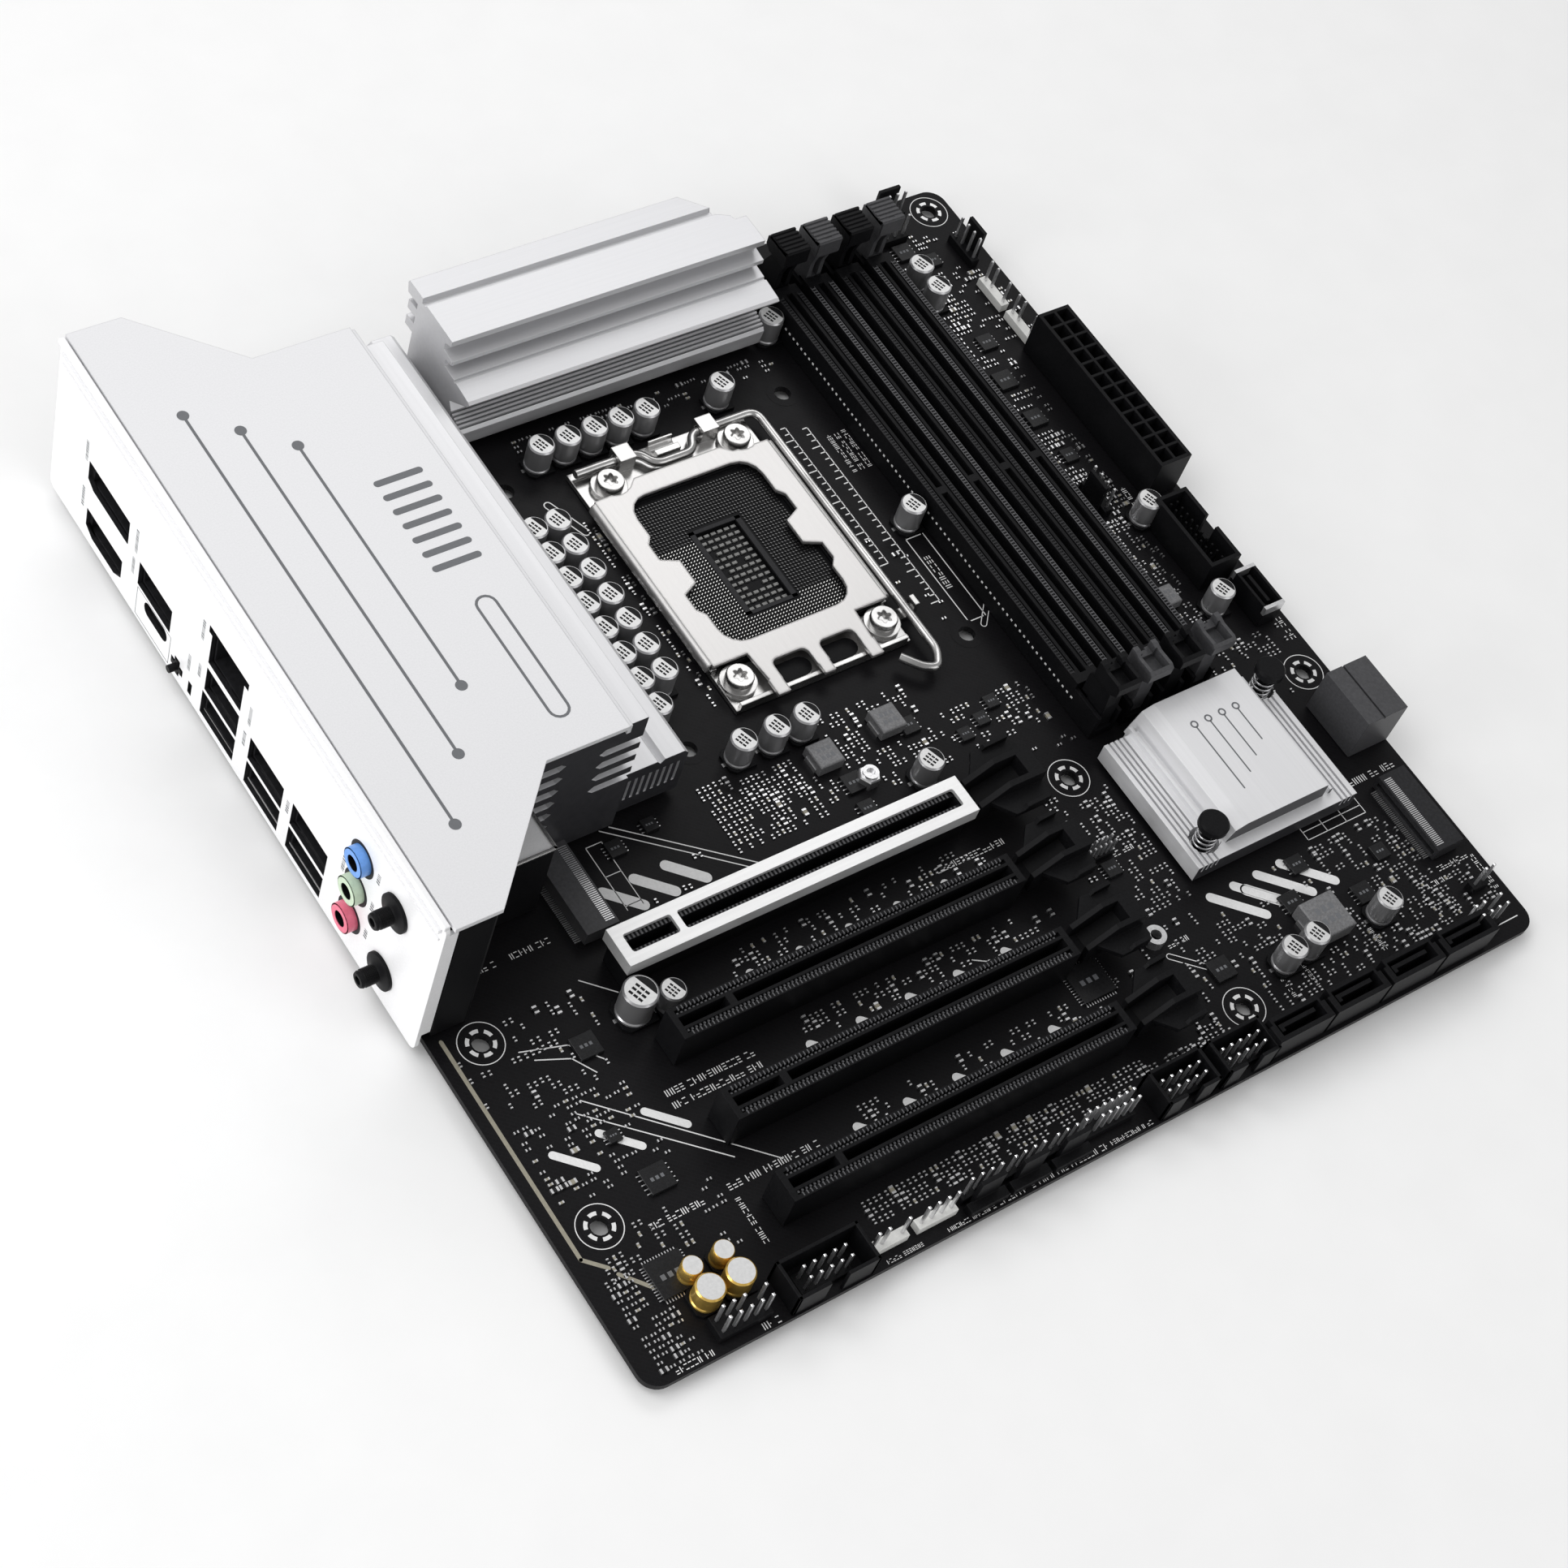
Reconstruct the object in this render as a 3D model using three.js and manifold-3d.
// Micro-ATX motherboard. Millimetres, +Z up from the component side, +X from the rear ports to the front
// edge, +Y from the expansion slots to the top edge. Built about the board's centre, with z = 0 on its
// underside, then moved so the origin is the bottom centre of the whole part.
import * as THREE from 'three';
import { mergeVertices } from 'three/addons/utils/BufferGeometryUtils.js';
import Module from 'manifold-3d';

const wasm = await Module();
wasm.setup();

// ---- driving dimensions -------------------------------------------------------------------------
const BOARD = 244;                    // board side
const EDGE = BOARD / 2;
const T = 1.6;                        // board thickness and height of its top face
const GAP = 0.3;                      // clearance between neighbouring pieces
const SEAT = T + GAP;                 // underside of every part that sits on the board
const TAIL = 2;                       // soldered pins stand this far below the board
const SOCKET = { x: 6.05, y: 40.35 };
const COOLER_PITCH = 78;
const SLOT_PITCH = 20.32;
const DIMM_PITCH = 9.5;

// ---- solids -------------------------------------------------------------------------------------
function solid(geometry) {
  const bare = geometry.clone();
  bare.deleteAttribute('normal');
  bare.deleteAttribute('uv');
  const merged = mergeVertices(bare, 1e-4);
  return new wasm.Manifold(new wasm.Mesh({
    numProp: 3,
    vertProperties: Float32Array.from(merged.attributes.position.array),
    triVerts: Uint32Array.from(merged.index.array),
  }));
}

function join(...parts) {
  return parts.flat().reduce((whole, part) => whole.add(part));
}

function cut(body, ...tools) {
  return tools.flat().reduce((whole, tool) => whole.subtract(tool), body);
}

function block([x0, x1], [y0, y1], [z0, z1]) {
  const g = new THREE.BoxGeometry(x1 - x0, y1 - y0, z1 - z0);
  g.translate((x0 + x1) / 2, (y0 + y1) / 2, (z0 + z1) / 2);
  return solid(g);
}

function asShape(outline) {
  return Array.isArray(outline) ? new THREE.Shape(outline.map(([a, b]) => new THREE.Vector2(a, b))) : outline;
}

function extruded(outline, depth, curveSegments) {
  return new THREE.ExtrudeGeometry(asShape(outline), { depth, bevelEnabled: false, curveSegments, steps: 1 });
}

function prismZ(outline, [z0, z1], curveSegments = 2) {
  return solid(extruded(outline, z1 - z0, curveSegments).translate(0, 0, z0));
}

// outline in (y, z), run along x
function prismX(outline, [x0, x1], curveSegments = 2) {
  const g = extruded(outline, x1 - x0, curveSegments);
  const turn = new THREE.Matrix4().makeBasis(
    new THREE.Vector3(0, 1, 0), new THREE.Vector3(0, 0, 1), new THREE.Vector3(1, 0, 0));
  return solid(g.applyMatrix4(turn).translate(x0, 0, 0));
}

// outline in (x, z), run along y
function prismY(outline, [y0, y1], curveSegments = 2) {
  const g = extruded(outline, y1 - y0, curveSegments);
  const turn = new THREE.Matrix4().makeBasis(
    new THREE.Vector3(1, 0, 0), new THREE.Vector3(0, 0, 1), new THREE.Vector3(0, -1, 0));
  return solid(g.applyMatrix4(turn).translate(0, y1, 0));
}

function rod(radius, axis, [a, b], [u, v], sides = 12) {
  const g = new THREE.CylinderGeometry(radius, radius, b - a, sides);
  const mid = (a + b) / 2;
  if (axis === 'x') g.rotateZ(Math.PI / 2).translate(mid, u, v);
  if (axis === 'y') g.translate(u, mid, v);
  if (axis === 'z') g.rotateX(Math.PI / 2).translate(u, v, mid);
  return solid(g);
}

function roundedRect([x0, x1], [y0, y1], r) {
  const s = new THREE.Shape();
  s.absarc(x1 - r, y1 - r, r, 0, Math.PI / 2);
  s.absarc(x0 + r, y1 - r, r, Math.PI / 2, Math.PI);
  s.absarc(x0 + r, y0 + r, r, Math.PI, 1.5 * Math.PI);
  s.absarc(x1 - r, y0 + r, r, 1.5 * Math.PI, 2 * Math.PI);
  return s;
}

function around(centre, half) {
  return [centre - half, centre + half];
}

// round wire along a centre line
function wire(line, radius, sides, steps) {
  const ring = new THREE.Shape();
  ring.absarc(0, 0, radius, 0, 2 * Math.PI);
  const settings = { extrudePath: line, steps, curveSegments: sides, bevelEnabled: false };
  const g = new THREE.ExtrudeGeometry(ring, settings);
  return solid(g);
}

// ---- materials ----------------------------------------------------------------------------------
function finish(color, roughness, metalness) {
  return new THREE.MeshStandardMaterial({ color, roughness, metalness });
}
const boardBlack = finish(0x111113, 0.55, 0);
const plasticBlack = finish(0x101012, 0.5, 0);
const plasticGrey = finish(0x4a4a4d, 0.5, 0);
const silver = finish(0xdcdcde, 0.35, 1);
const plateSteel = finish(0xd8d8da, 0.25, 1);
const wireSteel = finish(0xc4c4c6, 0.2, 1);
const tin = finish(0xb9b9bc, 0.3, 1);
const springSteel = finish(0x8d8d90, 0.3, 1);
const jackBlue = finish(0x5f97dd, 0.45, 0);
const jackGreen = finish(0xb8ccb0, 0.45, 0);
const jackPink = finish(0xe0607e, 0.45, 0);

const part = new THREE.Group();
part.name = 'motherboard';

function place(name, body, material) {
  const data = body.getMesh();
  const g = new THREE.BufferGeometry();
  g.setAttribute('position', new THREE.BufferAttribute(Float32Array.from(data.vertProperties), 3));
  g.setIndex(new THREE.BufferAttribute(Uint32Array.from(data.triVerts), 1));
  const flat = g.toNonIndexed();
  flat.computeVertexNormals();
  const mesh = new THREE.Mesh(flat, material);
  mesh.name = name;
  part.add(mesh);
}

// ---- places shared by several pieces --------------------------------------------------------------
const REAR_COLUMN = -111.84;
const MID_COLUMN = 43.1;
const FRONT_COLUMN = 115.49;
const TOP_ROW = 115.65;
const SLOT_ROW = -41.83;
const STANDOFFS = [
  [REAR_COLUMN, SLOT_ROW], [REAR_COLUMN, SLOT_ROW - 45.72], [MID_COLUMN, SLOT_ROW], [MID_COLUMN, -107.87],
  [FRONT_COLUMN, SLOT_ROW], [FRONT_COLUMN, TOP_ROW], [MID_COLUMN, TOP_ROW], [-88.98, TOP_ROW],
];
const COOLER_HOLES = [[1, 1], [1, -1], [-1, -1], [-1, 1]].map(([i, j]) => (
  [SOCKET.x + i * COOLER_PITCH / 2, SOCKET.y + j * COOLER_PITCH / 2]));
const SOCKET_SCREWS = [[-17.3, 29.6], [18.2, 29.6], [-20, -29.4], [20.2, -29.4]].map(([x, y]) => (
  [SOCKET.x + x, SOCKET.y + y]));
const SHIELD_X = -124.6;              // outer face of the port plate
const SHIELD_T = 1;
const PORT_X = SHIELD_X + SHIELD_T + GAP;
const DIMM_X = [0, 1, 2, 3].map((i) => 57.2 + i * DIMM_PITCH);
const PCIE_Y = [0, 1, 2, 3].map((i) => -39.9 - i * SLOT_PITCH);
const PUSH_PINS = [[57.6, -71.3], [97.5, -43.2]];

// ---- board ----------------------------------------------------------------------------------------
function padRing([x, y]) {
  const proud = 0.05;
  return rod(4.1, 'z', [-proud, T + proud], [x, y], 16);
}

function pinTail(x, y) {
  const g = new THREE.CylinderGeometry(0.7, 0.35, TAIL + 0.4, 4);
  g.rotateX(Math.PI / 2).translate(x, y, 0.4 - (TAIL + 0.4) / 2);
  return solid(g);
}

function grid(x0, y0, dx, dy, nx, ny) {
  const spots = [];
  for (let i = 0; i < nx; i += 1) {
    for (let j = 0; j < ny; j += 1) spots.push([x0 + i * dx, y0 + j * dy]);
  }
  return spots;
}

function board() {
  const plate = prismZ(roundedRect([-EDGE, EDGE], [-EDGE, EDGE], 4.5), [0, T], 4);
  const tails = [
    ...grid(114, 20.5, 0, 8.4, 1, 6), ...grid(-84, 108, 12.6, 0, 2, 1), ...grid(-117, -5, 0, 24, 1, 6),
    ...PCIE_Y.flatMap((y) => [[-76, y], [8, y]]), ...DIMM_X.flatMap((x) => [[x, -30], [x, 104]]),
    ...grid(48, -118, 33.6, 0, 2, 1), ...grid(-78, -117, 30, 0, 3, 1),
  ].map(([x, y]) => pinTail(x, y));
  const holes = [
    ...STANDOFFS.map((at) => rod(2, 'z', [-1, T + 1], at, 16)),
    ...COOLER_HOLES.map((at) => rod(2.05, 'z', [-1, T + 1], at, 16)),
    ...SOCKET_SCREWS.map((at) => rod(1.9, 'z', [-1, T + 1], at, 8)),
    ...PUSH_PINS.map((at) => rod(1.7, 'z', [-1, T + 1], at, 8)),
  ];
  const body = join(plate, [...STANDOFFS, ...COOLER_HOLES].map(padRing), tails);
  place('pcb', cut(body, holes), boardBlack);
}

// ---- processor socket -------------------------------------------------------------------------------
const PLATE_Z = [5.2, 6.2];
const AXLE = { y: SOCKET.y + 34.75, z: 5.2 };
const WIRE_R = 1;

function backplate() {
  const outline = roundedRect(around(SOCKET.x, 27), around(SOCKET.y, 37.5), 5);
  const sheet = prismZ(outline, [-1.9, -GAP], 3);
  const window = prismZ(roundedRect(around(SOCKET.x, 12), around(SOCKET.y, 16), 3), [-3, 1], 3);
  const threads = SOCKET_SCREWS.map((at) => rod(1.5, 'z', [-3, 1], at, 8));
  place('socket_backplate', cut(sheet, window, threads), plateSteel);
}

function socketBody() {
  const shell = block(around(SOCKET.x, 20.6), around(SOCKET.y, 25), [SEAT, 4.7]);
  const pocket = block(around(SOCKET.x, 18.9), around(SOCKET.y, 22.7), [3.8, 6]);
  const well = block(around(SOCKET.x - 0.6, 5.6), around(SOCKET.y - 2.2, 11.8), [2.6, 6]);
  place('socket_body', cut(shell, pocket, well), plasticBlack);
}

function socketFrame() {
  const rail = 24.3;
  const base = [SEAT, 3.2];
  const ring = block(around(SOCKET.x, rail), [SOCKET.y - 35.8, SOCKET.y + 36.6], base);
  const inside = block(around(SOCKET.x, 21), around(SOCKET.y, 25.4), [0, 9]);
  const sides = [-1, 1].map((s) => block(
    around(SOCKET.x + s * (rail - 0.6), 0.6), around(SOCKET.y, 25), [SEAT, 4.8]));
  const hingeWall = block(around(SOCKET.x, rail - 1), [SOCKET.y - 35.8, SOCKET.y - 34.8], [SEAT, 4.8]);
  const bosses = SOCKET_SCREWS.map((at) => rod(4.2, 'z', [SEAT, 4.2], at, 14));
  const bores = SOCKET_SCREWS.map((at) => rod(1.7, 'z', [0, 9], at, 8));
  const middleTab = block([SOCKET.x - 2.6, SOCKET.x + 4], [SOCKET.y + 32, SOCKET.y + 36.4], [SEAT, 5.6]);
  const clips = [-10.6, 12.6].map((x) => block(
    around(SOCKET.x + x, 2.2), [AXLE.y - 2.2, AXLE.y + 2.3], [SEAT, 7.3]));
  const axleBore = rod(WIRE_R + 0.3, 'x', [SOCKET.x - 30, SOCKET.x + 30], [AXLE.y, AXLE.z], 12);
  const ledge = block([SOCKET.x + 24, SOCKET.x + 30], around(SOCKET.y - 28.4, 1.4), [SEAT, 3]);
  const post = block([SOCKET.x + 28.8, SOCKET.x + 30], around(SOCKET.y - 28.4, 1.4), [SEAT, 6.9]);
  const solidFrame = join(ring, sides, hingeWall, bosses, middleTab, clips, ledge, post);
  place('socket_frame', cut(solidFrame, inside, bores, axleBore), plateSteel);
}

// the window narrows at two side tabs and widens above and below them
function plateWindow() {
  const half = 17.6;
  const wide = 19.2;
  const narrow = 15;
  const top = 23;
  const low = -21.8;
  const r = 5.5;
  const s = new THREE.Path();
  const [x, y] = [SOCKET.x, SOCKET.y];
  s.moveTo(x - half + r, y + low);
  s.lineTo(x + half - r, y + low);
  s.absarc(x + half - r, y + low + r, r, -Math.PI / 2, 0);
  for (const [from, to] of [[-12, 1], [12, -1]]) {
    const [a, b] = to > 0 ? [from, from + 8.6] : [from - 8.6, from];
    const bulge = [[half, a], [wide, a + 2], [wide, b - 2], [narrow, b]];
    const ordered = to > 0 ? bulge : [[narrow, a], [wide, a + 2], [wide, b - 2], [half, b]];
    ordered.forEach(([u, v]) => s.lineTo(x + u, y + v));
  }
  s.absarc(x + half - r, y + top - r, r, 0, Math.PI / 2);
  s.absarc(x - half + r, y + top - r, r, Math.PI / 2, Math.PI);
  [[half, 12], [wide, 10], [wide, 5.4], [narrow, 3.4], [narrow, -3.4], [wide, -5.4], [wide, -10], [half, -12]]
    .forEach(([u, v]) => s.lineTo(x - u, y + v));
  s.absarc(x - half + r, y + low + r, r, Math.PI, 1.5 * Math.PI);
  return s;
}

function loadPlate() {
  const half = 24.2;
  const s = asShape([
    [-half, -24.8], [-15, -24.8], [-14.2, -34], [14.2, -34], [15, -24.8], [half, -24.8],
    [half, 25.6], [14.5, 25.8], [12, 28], [-12, 28], [-14.5, 25.8], [-half, 25.6],
  ].map(([x, y]) => [SOCKET.x + x, SOCKET.y + y]));
  s.holes.push(plateWindow());
  const sheet = prismZ(s, PLATE_Z, 2);
  const notches = SOCKET_SCREWS.map((at) => rod(4.6, 'z', [4, 8], at, 16));
  const arches = [-6.4, 6.6].map((x) => prismZ(
    roundedRect(around(SOCKET.x + x, 4.9), [SOCKET.y - 40, SOCKET.y - 28.6], 1.8), [4, 8], 3));
  const tab = block(around(SOCKET.x + 0.1, 1.4), [SOCKET.y - 36.8, SOCKET.y - 30], PLATE_Z);
  const lugs = [-13, 13].map((x) => block(
    around(SOCKET.x + x, 1.6), [SOCKET.y - 37.4, SOCKET.y - 33], PLATE_Z));
  place('load_plate', join(cut(sheet, notches, arches), tab, lugs), plateSteel);
}

function leverLine() {
  const z = AXLE.z;
  const at = (x, y) => new THREE.Vector3(SOCKET.x + x, y, z);
  const path = new THREE.CurvePath();
  const bend = (a, corner, b) => path.add(new THREE.QuadraticBezierCurve3(a, corner, b));
  const run = (a, b) => path.add(new THREE.LineCurve3(a, b));
  const dipY = AXLE.y - 4.6;
  const armX = 27.1;
  run(at(-23.6, AXLE.y), at(-8, AXLE.y));
  bend(at(-8, AXLE.y), at(-6.2, AXLE.y), at(-5.2, AXLE.y - 2.2));
  bend(at(-5.2, AXLE.y - 2.2), at(-4, dipY), at(-1.6, dipY));
  run(at(-1.6, dipY), at(4, dipY));
  bend(at(4, dipY), at(6.2, dipY), at(7.4, AXLE.y - 2.2));
  bend(at(7.4, AXLE.y - 2.2), at(8.4, AXLE.y), at(10, AXLE.y));
  run(at(10, AXLE.y), at(armX - 3.4, AXLE.y));
  bend(at(armX - 3.4, AXLE.y), at(armX, AXLE.y), at(armX, AXLE.y - 3.4));
  run(at(armX, AXLE.y - 3.4), at(armX, 0.5));
  bend(at(armX, 0.5), at(armX, -5.4), at(armX - 3.4, -5.4));
  bend(at(armX - 3.4, -5.4), at(armX - 6, -5.4), at(armX - 9.4, 0.6));
  return path;
}

function loadLever() {
  place('load_lever', wire(leverLine(), WIRE_R, 4, 48), wireSteel);
}

// ---- memory slots -----------------------------------------------------------------------------------
const DIMM_Y = [-23.6, 98.9];
const DIMM_END = 11.6;
const DIMM_TOP = 11.6;
const DIMM_W = 6.9;
const DIMM_KEY = 33.4;
const LATCH_TOP = 22.5;

function dimmSlot(index) {
  const x = DIMM_X[index];
  const [y0, y1] = DIMM_Y;
  const rail = block(around(x, DIMM_W / 2), [y0 - 2.4, y1 + 2.4], [SEAT, DIMM_TOP]);
  const foot = block(around(x, DIMM_W / 2), [y0 - DIMM_END, y1 + DIMM_END], [SEAT, 4.4]);
  const card = block(around(x, 0.9), [y0, DIMM_KEY - 1], [5, 20]);
  const card2 = block(around(x, 0.9), [DIMM_KEY + 1, y1], [5, 20]);
  const cheeks = [[y0 - DIMM_END, y0 - 2.4], [y1 + 2.4, y1 + DIMM_END]].flatMap((ends) => (
    [-1, 1].map((s) => block(around(x + s * (DIMM_W / 2 - 0.5), 0.5), ends, [4, 9.6]))));
  const grip = (x0) => block(around(x + x0, 0.4), [y0 + 1, y1 - 1], [DIMM_TOP - 0.8, 20]);
  place(`dimm_slot_${index + 1}`, cut(join(rail, foot, cheeks), card, card2, grip(-2.1), grip(2.1)),
    index % 2 ? plasticGrey : plasticBlack);
}

// side = 1 at the top edge, -1 at the bottom; the outline runs from the slot's end outwards
function dimmLatch(index, side) {
  const x = DIMM_X[index];
  const end = side > 0 ? DIMM_Y[1] + 2.4 : DIMM_Y[0] - 2.4;
  const outward = (points) => points.map(([reach, z]) => [end + side * reach, z]);
  const span = (a, b) => (side > 0 ? [end + a, end + b] : [end - b, end - a]);
  const inward = side > 0 ? 3.6 : 0;
  const top = LATCH_TOP + (side > 0 ? 2.6 : 0.6);
  const headZ = top - 4.8;
  const stem = prismX(outward([
    [0.7, 9.9], [3, 9.9], [3, 5], [8.4, 5], [8.4, 12], [7.8 - inward, headZ + 0.4],
    [3 - inward, headZ + 0.4], [0.7, 16],
  ]), around(x, DIMM_W / 2 - 1.3));
  const head = prismX(outward([
    [2.4, headZ], [8.6, headZ], [10.4, headZ + 1.2], [10.4, top - 1.2], [9.4, top - 0.5],
    [5.4, top - 0.6], [3.6, top], [2.4, top],
  ].map(([reach, z]) => [reach - inward, z])), around(x, DIMM_W / 2 - 0.1));
  const cup = block(around(x, DIMM_W / 2 - 1), span(4.6, 9.5), [headZ + 1.4, 30]);
  const card = block(around(x, 0.9), span(-1, 3), [11, 30]);
  const mouth = block(around(x, 1.9), span(1, 5), [headZ + 2.6, 30]);
  const ribs = [0, 1, 2, 3].map((i) => rod(0.4, 'x', around(x, 5), [end + 0.6 + i * 1.5, top - 0.2], 6));
  const hollows = side > 0 ? ribs : [cup, mouth];
  const name = side > 0 ? 'top' : 'bottom';
  place(`dimm_latch_${name}_${index + 1}`, cut(join(stem, head), card, hollows),
    index % 2 ? plasticGrey : plasticBlack);
}

// ---- expansion slots ----------------------------------------------------------------------------------
const PCIE_X = [-79, 10];
const PCIE_TOP = T + 11.25;
const PCIE_W = 7.5;
const PCIE_KEY = -65.1;
const SLEEVE_T = 1;

function pcieSlot(index) {
  const y = PCIE_Y[index];
  const [x0, x1] = PCIE_X;
  const top = index === 0 ? PCIE_TOP - SLEEVE_T : PCIE_TOP;
  const rail = block([x0, x1], around(y, PCIE_W / 2), [SEAT, top]);
  const heel = block([x1 - 1, x1 + 3.2], around(y, 2.2), [SEAT, 8.2]);
  const cards = [[x0 + 1.4, PCIE_KEY - 0.9], [PCIE_KEY + 0.9, x1 - 1.5]].map((span) => (
    block(span, around(y, 1.1), [5, 20])));
  const rows = [-1, 1].map((s) => block([x0 + 1.4, x1 - 1.5], around(y + s * 2.3, 0.5), [PCIE_TOP - 1, 20]));
  place(`pcie_slot_${index + 1}`, cut(join(rail, heel), cards, rows), plasticBlack);
}

// a folded steel cap over the first slot: a thin top with two windows, and short sides
function pcieSleeve() {
  const y = PCIE_Y[0];
  const inner = PCIE_W / 2 + GAP;
  const wall = 0.8;
  const [x0, x1] = [PCIE_X[0] - GAP, PCIE_X[1] + GAP];
  const outer = block([x0 - wall, x1 + wall], around(y, inner + wall), [PCIE_TOP - 3.4, PCIE_TOP + 0.3]);
  const inside = block([x0, x1], around(y, inner), [0, PCIE_TOP - SLEEVE_T + GAP]);
  const windows = [[x0 + 1.6, PCIE_KEY - 0.8], [PCIE_KEY + 0.8, x1 - 1.7]].map((span) => (
    prismZ(roundedRect(span, around(y, 2.3), 0.6), [0, 30], 1)));
  place('pcie_sleeve', cut(outer, inside, windows), silver);
}

// a sloping channel with an end wall, and a low wing on each side
function pcieLatch(index) {
  const y = PCIE_Y[index] + 0.6;
  const start = PCIE_X[1] + 3.9;
  const grow = index === 0 ? 1.12 : 1;
  const end = start + 15 * grow;
  const channel = prismY([[start, 4.4], [end, 8], [end, 14], [start + 7, 14], [start, 9.8]],
    around(y, 3.6 * grow));
  const hollow = prismY([[start - 1, 6.6], [start + 2, 6.6], [end - 4, 10], [end - 4, 20], [start - 1, 20]],
    around(y, 2.3 * grow));
  const wings = [-1, 1].map((s) => {
    const reach = 8.1 * grow;
    const outline = [[start + 1.5, 3], [start + 6, reach], [end - 1.6, reach], [end, 6.4 * grow], [end, 3]]
      .map(([a, b]) => [a, y + s * b]);
    return prismZ(s > 0 ? outline : outline.reverse(), [9.4, 10.6]);
  });
  const lipSide = [[start + 8, 10], [end - 1.6, 10], [end - 1.6, 12.4], [start + 9, 11.8]];
  const lips = [-1, 1].map((s) => prismY(lipSide,
    around(y + s * (8.1 * grow - 0.5), 0.5)));
  place(`pcie_latch_${index + 1}`, join(cut(channel, hollow), wings, lips), plasticBlack);
}

// ---- heat sinks -------------------------------------------------------------------------------------
function comb(from, to, pitch, width, make) {
  const slots = [];
  for (let at = from; at <= to + 1e-6; at += pitch) slots.push(make([at, at + width]));
  return slots;
}

function rearSink() {
  const y = [-6.7, 118.6];
  const strip = prismY([
    [-61, 3.4], [-42.6, 3.4], [-42, 4], [-42, 16.6], [-43.2, 17.8], [-48.2, 17.8], [-49.2, 16.6],
    [-50.2, 17.8], [-61, 17.8],
  ], y);
  const fins = comb(-57, -44.4, 1.8, 0.8, (x) => block(x, [y[0] - 1, y[0] + 14], [7.4, 14.6]));
  const tower = prismY([[-89, 3.4], [-60, 3.4], [-60, 43], [-87, 43], [-89, 41]], [-9, 99.5]);
  const slot = (inner, outer, tip) => ([z0, z1]) => prismY([
    [outer, z0], [inner, z0], [inner + tip, (z0 + z1) / 2], [inner, z1], [outer, z1],
  ], [-20, 130]);
  const rightSlots = comb(21, 38, 4.4, 2.4, slot(-69, -50, -1.4));
  const leftSlots = comb(9, 38, 4.4, 2.4, slot(-80, -100, 1.4));
  place('rear_vrm_heatsink', cut(join(strip, tower), fins, rightSlots, leftSlots), silver);
}

function topSink() {
  const profile = [
    [94, 3.4], [93, 5], [92.6, 9.4], [93.4, 10.6], [97.4, 12], [99, 14.4], [92.4, 19.2], [91.9, 20.2],
    [92.6, 20.7], [98.2, 21.3], [98.4, 20.8], [98.9, 20.8], [99.1, 21.4], [103.2, 21.8], [103.4, 23.6],
    [100.9, 24.1], [100.9, 25.3], [104.6, 25.8], [104.8, 27.6], [102.4, 28.8],
    [102.4, 30.4], [113.8, 30.6], [114.2, 29.8], [115.4, 29.8], [115.6, 31.2], [121.4, 31.2], [121.8, 30.4],
    [121.2, 27.8], [117, 27.8], [117, 26.2], [120.4, 26.2], [120.4, 23.6], [117, 23.6], [117, 21.4],
    [120.2, 21.4], [120.2, 18.6], [117, 18.6], [117, 3.4],
  ];
  const body = prismX(profile, [-38.6, 47.2]);
  const ribs = [0, 1, 2, 3, 4].map((k) => block([-50, 60], around(93.5 + 0.95 * k, 0.24), [8.6, 12.6]));
  const backCorner = prismZ([[32.5, 123], [40, 115.2], [40, 113.9], [43.5, 112.2], [44, 110.8], [60, 110.8],
    [60, 123]], [22, 40]);
  const lowEnd = block([46.2, 60], [90, 104], [0, 19]);
  place('top_vrm_heatsink', cut(body, ribs, backCorner, lowEnd), silver);
}

function chipsetSink() {
  const x = [51.8, 100];
  const y = [-77, -40.8];
  const mid = [60.6, 91.8];
  const base = block(x, y, [SEAT + 1, 7.8]);
  const slab = prismY([[mid[0], 5], [mid[1], 5], [mid[1] - 0.6, 12.4], [66.6, 12.4], [63.4, 11.4]],
    [y[0] + 3, y[1] + 2.4]);
  const lips = [59.2, 93.2].map((at) => block([at, at + 0.8], [y[0] + 3, y[1] + 1], [5, 9.4]));
  const slots = [...comb(53, 57.4, 1.4, 0.6, (s) => s), ...comb(95.2, 98.8, 1.4, 0.6, (s) => s)]
    .map((s) => block(s, [-90, -30], [5.6, 9]));
  const bores = PUSH_PINS.map((at) => rod(1.8, 'z', [0, 20], at, 10));
  const seats = PUSH_PINS.map((at) => rod(3.6, 'z', [4.2, 20], at, 14));
  place('chipset_heatsink', cut(join(base, slab, lips), slots, seats, bores), silver);
}

const PIN_CAP_Z = 13.2;

function pushPin(index) {
  const at = PUSH_PINS[index];
  const cap = rod(3.6, 'z', [PIN_CAP_Z, PIN_CAP_Z + 2.2], at, 20);
  const shaft = rod(1.3, 'z', [-1.6, PIN_CAP_Z + 1], at, 10);
  place(`push_pin_${index + 1}`, join(cap, shaft), plasticBlack);
}

function pinSpring(index) {
  const [x, y] = PUSH_PINS[index];
  const turns = 4;
  const z0 = 5;
  const z1 = PIN_CAP_Z - 0.7;
  class Coil extends THREE.Curve {
    getPoint(t) {
      const a = 2 * Math.PI * turns * t;
      return new THREE.Vector3(x + 2.4 * Math.cos(a), y + 2.4 * Math.sin(a), z0 + (z1 - z0) * t);
    }
  }
  place(`pin_spring_${index + 1}`, wire(new Coil(), 0.35, 2, 36), springSteel);
}

// ---- rear ports -------------------------------------------------------------------------------------
const SHIELD_Y = [-36.8, 121.8];
const SHIELD_Z = [0.4, 46.4];

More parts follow.
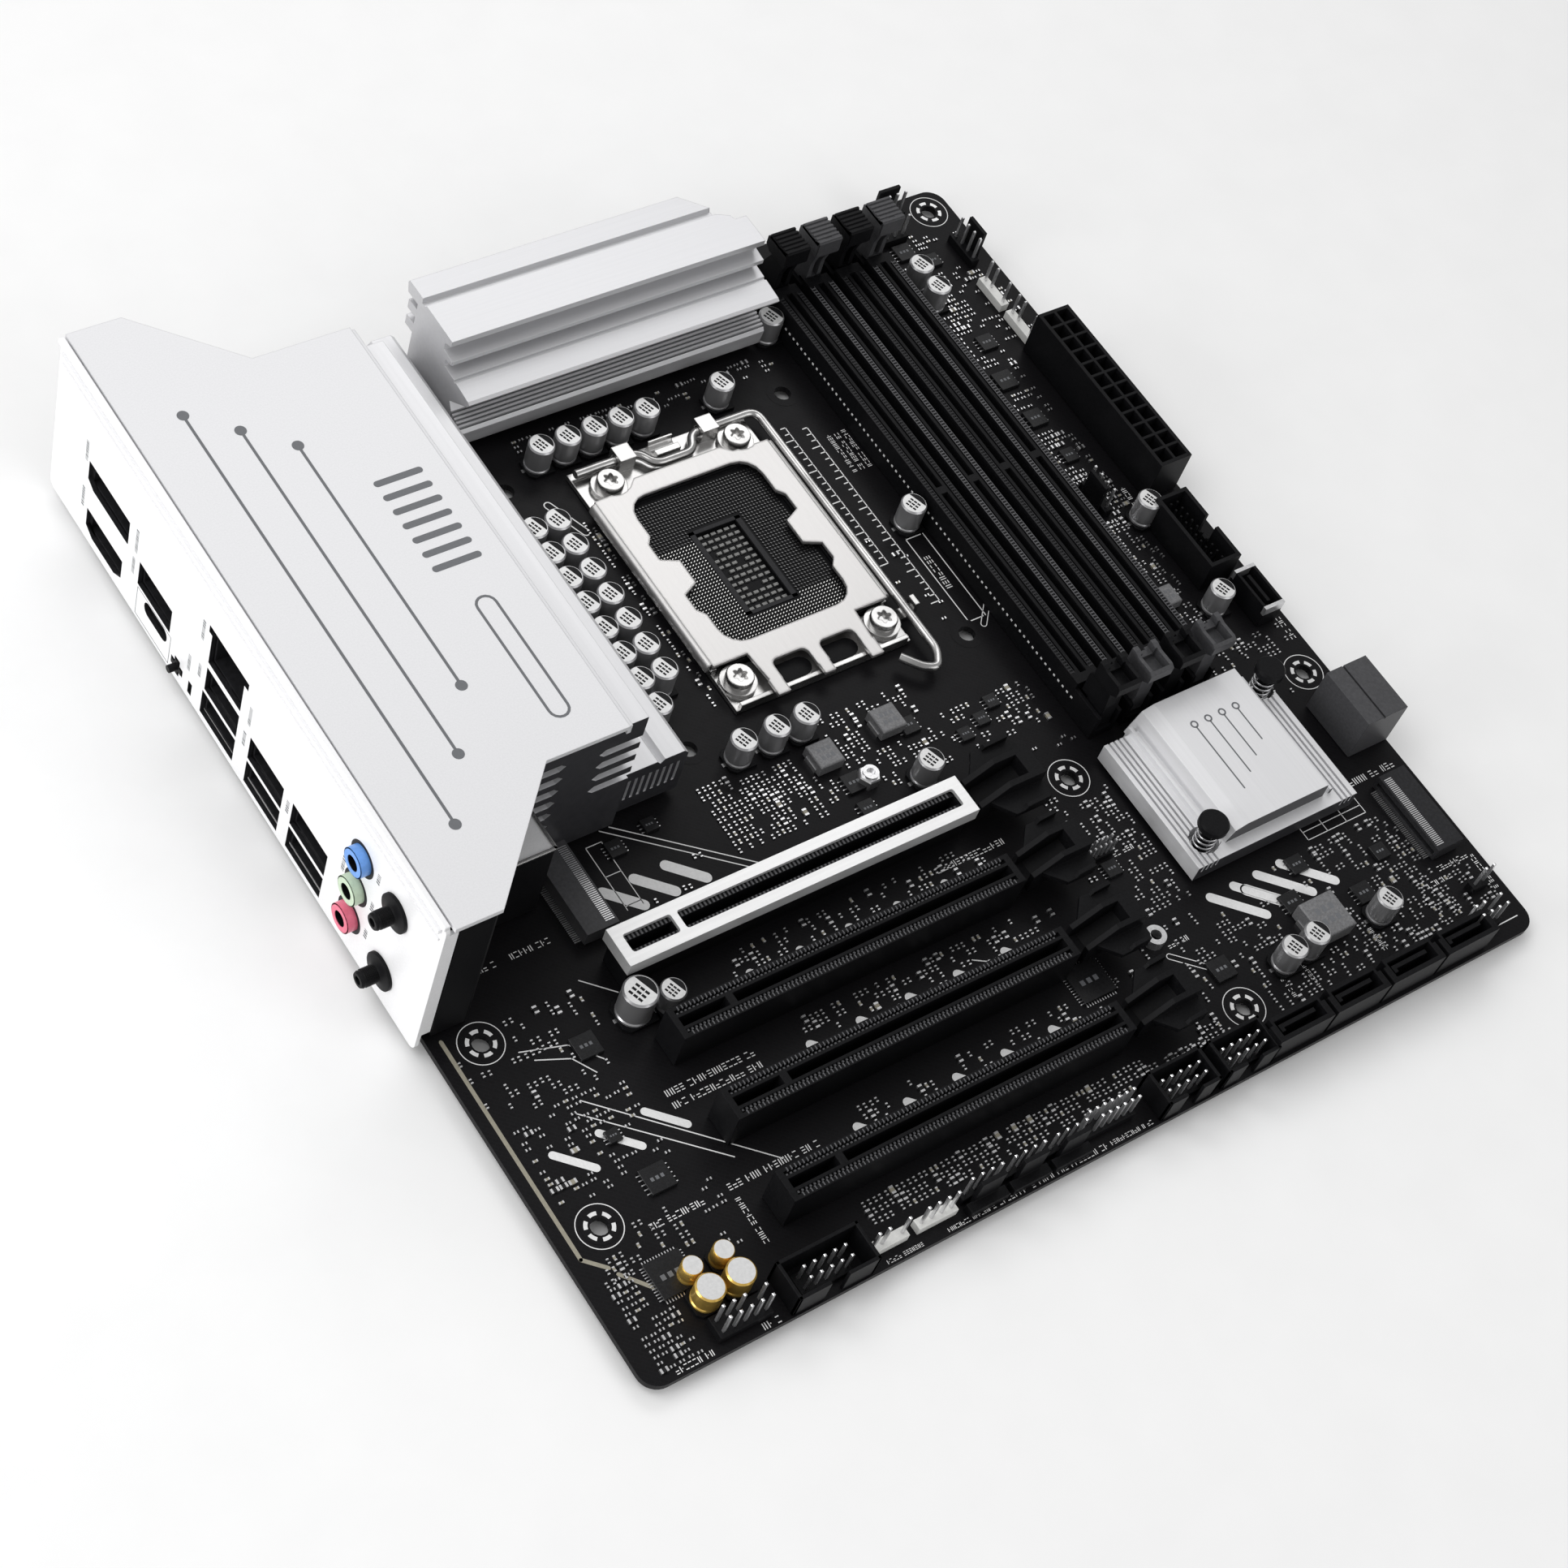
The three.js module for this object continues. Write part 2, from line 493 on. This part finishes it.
// each mouth: the span in y and in z of its opening in the port plate
const MOUTH = {
  displayport: [[88, 106.2], [17.8, 25.1]],
  hdmi: [[89.4, 105.4], [3, 10.3]],
  usbTop: [[68.3, 82.6], [11.1, 18.4]],
  usbC: [[69, 79], [5.9, 9.9]],
  lan: [[39.3, 52.9], [20, 29.2]],
  lanTab: [[37.7, 54.2], [29, 31.2]],
  lanUsbHigh: [[39.3, 52.9], [10.7, 18.2]],
  lanUsbLow: [[39.3, 53.4], [2.2, 9.6]],
  usb1High: [[20.2, 34.2], [10.2, 17.4]],
  usb1Low: [[20.2, 34.2], [1.9, 9.1]],
  usb2High: [[2.2, 16.4], [10.2, 17.4]],
  usb2Low: [[2.2, 16.4], [1.9, 9.1]],
  led: [[57.4, 58.9], [2.2, 6]],
};
const AUDIO = { y: -8.3, z: [10.8, 21.1, 31.4] };
const ANTENNA = { y: -21.6, z: [9, 31] };
const BUTTON = { y: 64, z: 4.7 };

function mouthCutter([y, z], x = [SHIELD_X - 1, SHIELD_X + SHIELD_T + 1]) {
  return block(x, y, z);
}

// a mouth with its lower corners cut off, by the given run on the low-y and high-y sides
function keyedCutter([[y0, y1], [z0, z1]], lowRun, highRun, x) {
  return prismX([[y0 + lowRun, z0], [y1 - highRun, z0], [y1, z0 + highRun * 0.6], [y1, z1], [y0, z1],
    [y0, z0 + lowRun * 0.6]], x);
}

function plusCutter(size, arm, x) {
  const across = block(x, around(BUTTON.y, size), around(BUTTON.z, arm));
  const up = block(x, around(BUTTON.y, arm), around(BUTTON.z, size));
  return join(across, up);
}

function ioShield() {
  const x = [SHIELD_X - 1, SHIELD_X + SHIELD_T + 1];
  const sheet = prismX(roundedRect(SHIELD_Y, SHIELD_Z, 2), [SHIELD_X, SHIELD_X + SHIELD_T], 3);
  const lip = block([SHIELD_X - 0.8, SHIELD_X + 0.5], [SHIELD_Y[0] + 1.5, SHIELD_Y[1] - 1.5], [43.6, 44.6]);
  const lipY = [SHIELD_Y[0] + 1.5, SHIELD_Y[1] - 1.5];
  const lowLip = block([SHIELD_X - 0.4, SHIELD_X + 0.5], lipY, [40.9, 41.5]);
  const returns = [block([SHIELD_X, SHIELD_X + 3], [SHIELD_Y[0] + 1, SHIELD_Y[1] - 1], [45.4, SHIELD_Z[1]]),
    block([SHIELD_X, SHIELD_X + 3], [SHIELD_Y[0], SHIELD_Y[0] + 1], [6, 44])];
  const plain = ['usbTop', 'lan', 'lanTab', 'lanUsbHigh', 'lanUsbLow', 'usb1High', 'usb1Low', 'usb2High',
    'usb2Low', 'led'].map((name) => mouthCutter(MOUTH[name], x));
  const keyed = [keyedCutter(MOUTH.displayport, 0.4, 2.6, x), keyedCutter(MOUTH.hdmi, 3, 3, x),
    prismX(roundedRect(...MOUTH.usbC, 1.9), x, 3)];
  const rounds = [...AUDIO.z.map((z) => rod(3.9, 'x', x, [AUDIO.y, z], 16)),
    ...ANTENNA.z.map((z) => rod(3.2, 'x', x, [ANTENNA.y, z], 14))];
  const sheetBody = join(sheet, lip, lowLip, returns);
  place('io_shield', cut(sheetBody, plain, keyed, rounds, plusCutter(2.5, 1.1, x)), silver);
}

// a connector body behind the plate, hollowed at each mouth, with a tongue left in each hollow
function portBody(name, y, z, depth, mouths, material) {
  const shell = block([PORT_X, PORT_X + depth], y, z);
  const hollows = mouths.map(({ mouth: [my, mz], deep = 10 }) => (
    block([PORT_X - 1, PORT_X + deep], [my[0] + 0.5, my[1] - 0.5], [mz[0] + 0.5, mz[1] - 0.5])));
  const tongues = mouths.filter((m) => m.tongue).map(({ mouth: [my, mz], tongue, deep = 10 }) => (
    block([PORT_X + 1, PORT_X + deep + 1], [my[0] + tongue.in, my[1] - tongue.in],
      [mz[0] + tongue.low, mz[0] + tongue.low + tongue.t])));
  place(name, join(cut(shell, hollows), ...(tongues.length ? tongues : [])), material);
}

function rearPorts() {
  const usbTongue = { in: 1.6, low: 3.6, t: 1.8 };
  portBody('displayport', [86.9, 107.3], [16.6, 26.4], 16,
    [{ mouth: MOUTH.displayport, tongue: { in: 2.6, low: 2.6, t: 1.6 } }], tin);
  portBody('hdmi_port', [88.4, 106.4], [SEAT, 11.6], 14,
    [{ mouth: MOUTH.hdmi, tongue: { in: 2.4, low: 2.9, t: 1.4 } }], tin);
  portBody('usb_c_stack', [67.4, 83.4], [SEAT, 19.6], 17, [{ mouth: MOUTH.usbTop, tongue: usbTongue },
    { mouth: MOUTH.usbC, deep: 7, tongue: { in: 1.6, low: 1.65, t: 0.7 } }], tin);
  portBody('lan_usb_stack', [37.2, 55], [SEAT, 32.2], 21.5, [{ mouth: MOUTH.lan, deep: 13 },
    { mouth: MOUTH.lanUsbHigh, tongue: usbTongue }, { mouth: MOUTH.lanUsbLow, tongue: usbTongue }], tin);
  portBody('usb_stack_1', [19.2, 35.2], [SEAT, 18.6], 17.5, [{ mouth: MOUTH.usb1High, tongue: usbTongue },
    { mouth: MOUTH.usb1Low, tongue: usbTongue }], tin);
  portBody('usb_stack_2', [1.2, 17.4], [SEAT, 18.6], 17.5, [{ mouth: MOUTH.usb2High, tongue: usbTongue },
    { mouth: MOUTH.usb2Low, tongue: usbTongue }], tin);
}

function audioJack(name, index, material) {
  const z = AUDIO.z[index];
  const low = index === 0 ? SEAT : z - 5;
  const body = block([PORT_X, PORT_X + 14], around(AUDIO.y, 5.4), [low, z + 5]);
  const barrel = rod(3.4, 'x', [SHIELD_X - 2.2, PORT_X + 1], [AUDIO.y, z], 20);
  const bore = rod(1.8, 'x', [SHIELD_X - 3, PORT_X + 12], [AUDIO.y, z], 14);
  place(name, cut(join(body, barrel), bore), material);
}

function antennaPost(name, z) {
  const flange = rod(4.3, 'x', [SHIELD_X - 1.1, SHIELD_X - GAP], [ANTENNA.y, z], 20);
  const post = rod(1.9, 'x', [SHIELD_X - 5.4, SHIELD_X + 6], [ANTENNA.y, z], 14);
  place(name, join(flange, post), plasticBlack);
}

function flashbackButton() {
  const x = [SHIELD_X - 0.2, SHIELD_X + 4];
  const knob = rod(0.9, 'x', [SHIELD_X - 2.1, SHIELD_X + 2], [BUTTON.y, BUTTON.z], 12);
  place('flashback_button', join(plusCutter(2.1, 0.75, x), knob), plasticBlack);
}

// ---- port cover ---------------------------------------------------------------------------------------
const COVER_Z = [46.8, 48];

function ioCover() {
  const rear = SHIELD_X + 0.9;
  const top = prismZ([[rear, -38], [-113, -38], [-87.5, -12], [-67.6, -12], [-67.6, 101.8], [-91, 101.8],
    [-111, 121.9], [rear, 121.9]], COVER_Z);
  const edge = block([-67.6, -66.6], [-11.6, 101.4], [44.8, 47.2]);
  const edgeTie = block([-68.4, -66.6], [-11.6, 101.4], [46.8, 47.4]);
  place('io_cover', join(top, edge, edgeTie), silver);
}

function ioCoverBase() {
  const wall = (a, b, z, t = 1.2) => {
    const along = new THREE.Vector2(b[0] - a[0], b[1] - a[1]).normalize();
    const side = [-along.y * t / 2, along.x * t / 2];
    return prismZ([[a[0] + side[0], a[1] + side[1]], [a[0] - side[0], a[1] - side[1]],
      [b[0] - side[0], b[1] - side[1]], [b[0] + side[0], b[1] + side[1]]], z);
  };
  const high = [2.4, 46.4];
  const low = [2.4, 25.6];
  const face = SHIELD_X + 4;
  const parts = [
    wall([face, -35.6], [-112.2, -35.6], high), wall([-112.8, -36], [-97.2, -20], high),
    wall([-97.6, -19], [-86, -19], low), wall([-86, -19.6], [-86, -10.4], low),
    prismZ([[-98.6, -19.6], [-85.4, -19.6], [-85.4, -10.4], [-91, -10.4]], [24.2, 25.6]),
  ];
  place('io_cover_base', join(...parts), plasticBlack);
}

// ---- power, front and storage connectors ----------------------------------------------------------------
function cellBlock(name, x, y, top, cell, depth, latch) {
  const body = block(x, y, [SEAT, top]);
  const cells = [];
  const nx = Math.round((x[1] - x[0] - 1.2) / cell);
  const ny = Math.round((y[1] - y[0] - 1.2) / cell);
  const [cx, cy] = [(x[0] + x[1]) / 2, (y[0] + y[1]) / 2];
  for (let i = 0; i < nx; i += 1) {
    for (let j = 0; j < ny; j += 1) {
      const mid = [cx + (i - (nx - 1) / 2) * cell, cy + (j - (ny - 1) / 2) * cell];
      const half = cell / 2 - 0.35;
      cells.push(block(around(mid[0], half), around(mid[1], half), [top - depth, top + 1]));
    }
  }
  place(name, join(cut(body, cells), latch), plasticBlack);
}

function powerConnectors() {
  cellBlock('atx_connector', [110.9, 120.5], [16.2, 67.8], T + 12.8, 4.2, 9,
    block([120, 121.6], around(42, 3), [SEAT, 9]));
  cellBlock('eps_connector', [-87.2, -69.2], [103.4, 113], T + 12.8, 4.2, 9,
    block(around(-78.2, 3), [112.6, 114.6], [SEAT, 9]));
}

function frontHeaders() {
  const shroud = block([106.2, 115.6], [-11.8, 10.6], [SEAT, 11]);
  const usb = cut(shroud, block([107.2, 114.6], [-10.8, 9.6], [3.4, 20]),
    block([114, 120], [-2.5, 1.3], [5.5, 20]));
  const pins = [-1, 1].flatMap((s) => grid(110.9 + s * 1, -9.6, 0, 2, 1, 10)).filter((_, i) => i !== 0)
    .map(([x, y]) => block(around(x, 0.25), around(y, 0.25), [3, 9.6]));
  place('usb19_header', join(usb, ...pins), plasticBlack);
  const shell = block([112.8, 118.8], [-26.4, -13.8], [SEAT, 8.6]);
  const hollow = prismZ(roundedRect([113.5, 118.1], [-25.6, -14.6], 0.8), [4.2, 20], 2);
  const tongue = block(around(115.8, 0.45), [-24.2, -16], [4, 8]);
  place('usb_c_header', join(cut(shell, hollow), tongue), tin);
}

function sataPort(index) {
  const x = 47.1 + index * 16.85;
  const [y, top] = [-118.2, 10.2];
  const body = block(around(x, 7.9), around(y, 3), [SEAT, top]);
  const mouth = block(around(x, 6.4), around(y, 1.9), [4, 20]);
  const blade = block(around(x - 0.4, 5.2), around(y + 0.5, 0.5), [3.6, 9.6]);
  const hook = block([x - 5.6, x - 4.6], [y - 0.8, y + 0.8], [3.6, 9.6]);
  const steps = [-1, 1].map((s) => block(around(x + s * 7.9, 0.9), [y + 1.2, y + 4], [SEAT - 1, 20]));
  place(`sata_port_${index + 1}`, join(cut(body, mouth, steps), blade, hook), plasticBlack);
}

function sataAngled() {
  const body = block([109.4, 121.8], [-66, -50], [SEAT, 15]);
  const groove = block([114.2, 114.8], [-70, -40], [14.4, 20]);
  const low = { z: [2.9, 6.7] };
  const mouths = [low.z, [8.6, 12.4]].map((z) => block([115, 125], [-64.2, -51.8], z));
  const blades = [low.z, [8.6, 12.4]].map((z) => block([114, 121], [-63, -53], [z[0] + 1.6, z[0] + 2.4]));
  place('sata_angled_block', join(cut(body, groove, mouths), ...blades), plasticGrey);
}

function m2Connector(name, x, y, mouthSide) {
  const body = block(x, y, [SEAT, 5.8]);
  const reach = mouthSide > 0 ? [x[1] - 4.5, x[1] + 3] : [x[0] - 3, x[0] + 4.5];
  const mouth = block(reach, [y[0] + 0.8, y[1] - 0.8], [3, 4.3]);
  place(name, cut(body, mouth), plasticGrey);
}

// ---- build --------------------------------------------------------------------------------------------
board();
backplate();
socketBody();
socketFrame();
loadPlate();
loadLever();
for (let i = 0; i < 4; i += 1) {
  dimmSlot(i);
  dimmLatch(i, 1);
  dimmLatch(i, -1);
  pcieSlot(i);
  pcieLatch(i);
  sataPort(i);
}
pcieSleeve();
rearSink();
topSink();
chipsetSink();
[0, 1].forEach(pushPin);
[0, 1].forEach(pinSpring);
ioShield();
rearPorts();
audioJack('audio_jack_blue', 2, jackBlue);
audioJack('audio_jack_green', 1, jackGreen);
audioJack('audio_jack_pink', 0, jackPink);
antennaPost('antenna_post_lower', ANTENNA.z[0]);
antennaPost('antenna_post_upper', ANTENNA.z[1]);
flashbackButton();
ioCover();
ioCoverBase();
powerConnectors();
frontHeaders();
sataAngled();
m2Connector('m2_connector_rear', [-80.6, -72.6], [-31.4, -9], 1);
m2Connector('m2_connector_front', [109.6, 117.6], [-97.4, -75], -1);

// the origin goes to the bottom centre of the bounding box
const bounds = new THREE.Box3().setFromObject(part);
const shift = bounds.getCenter(new THREE.Vector3()).negate();
shift.z = -bounds.min.z;
part.children.forEach((mesh) => mesh.geometry.translate(shift.x, shift.y, shift.z));

export default part;
